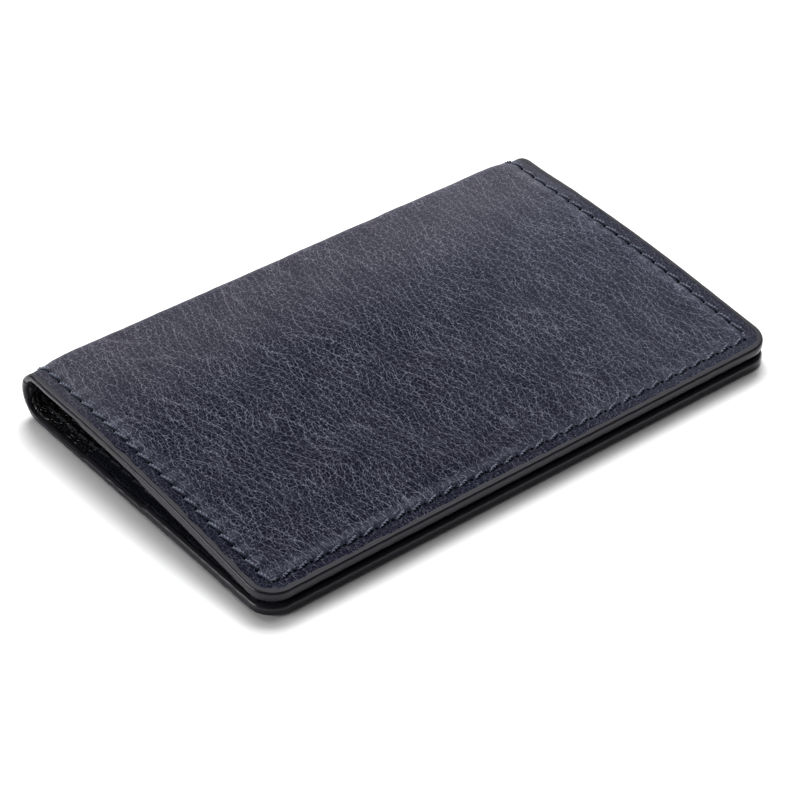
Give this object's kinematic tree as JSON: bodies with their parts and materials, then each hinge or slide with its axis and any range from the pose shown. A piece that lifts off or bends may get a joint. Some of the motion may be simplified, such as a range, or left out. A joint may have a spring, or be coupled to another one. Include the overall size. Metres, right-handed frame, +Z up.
{
  "type": "bifold card holder",
  "caption": "Slim bifold leather card holder with a rolled fold, card pockets that open towards the fold, a stitched border and painted edges.",
  "frame": {"origin": "centre of the closed holder's footprint, on the surface it lies on", "axes": "+X along the fold, +Y from the opening edge to the fold, +Z up, away from the surface"},
  "size_m": [0.1036, 0.066, 0.0094],
  "materials": {
    "cover_leather": "satin navy natural grain",
    "lining_leather": "satin black fine grain",
    "pocket_leather": "satin blue-black fine grain",
    "edge_paint": "smooth satin edge paint",
    "thread": "waxed two-ply thread",
    "board": "matte paperboard"
  },
  "bodies": {
    "back_leaf": {"back_cover": "cover_leather", "back_board": "board", "back_lining": "lining_leather", "back_rear_pocket": "pocket_leather", "back_front_pocket": "pocket_leather", "back_edge_paint": "edge_paint", "back_thread": "thread"},
    "lower_fold": {"lower_fold_cover": "cover_leather", "lower_fold_lining": "lining_leather", "lower_fold_edge_paint": "edge_paint", "lower_fold_thread": "thread"},
    "upper_fold": {"upper_fold_cover": "cover_leather", "upper_fold_lining": "lining_leather", "upper_fold_edge_paint": "edge_paint", "upper_fold_thread": "thread"},
    "front_leaf": {"front_cover": "cover_leather", "front_board": "board", "front_lining": "lining_leather", "front_rear_pocket": "pocket_leather", "front_front_pocket": "pocket_leather", "front_edge_paint": "edge_paint", "front_thread": "thread"}
  },
  "joints": [
    {"name": "lower_crease", "type": "hinge", "parent": "back_leaf", "child": "lower_fold", "pos_m": [0, 0.0307, 0.00066], "axis": [-1, 0, 0], "range_deg": [0, 61.53]},
    {"name": "middle_crease", "type": "hinge", "parent": "lower_fold", "child": "upper_fold", "pos_m": [0, 0.033, 0.00489], "axis": [-1, 0, 0], "range_deg": [0, 61.53]},
    {"name": "upper_crease", "type": "hinge", "parent": "upper_fold", "child": "front_leaf", "pos_m": [0, 0.03037, 0.00892], "axis": [-1, 0, 0], "range_deg": [0, 61.53]}
  ],
  "couplings": [
    {"joint": "middle_crease", "follows": "lower_crease", "ratio": 1},
    {"joint": "upper_crease", "follows": "lower_crease", "ratio": 1}
  ]
}
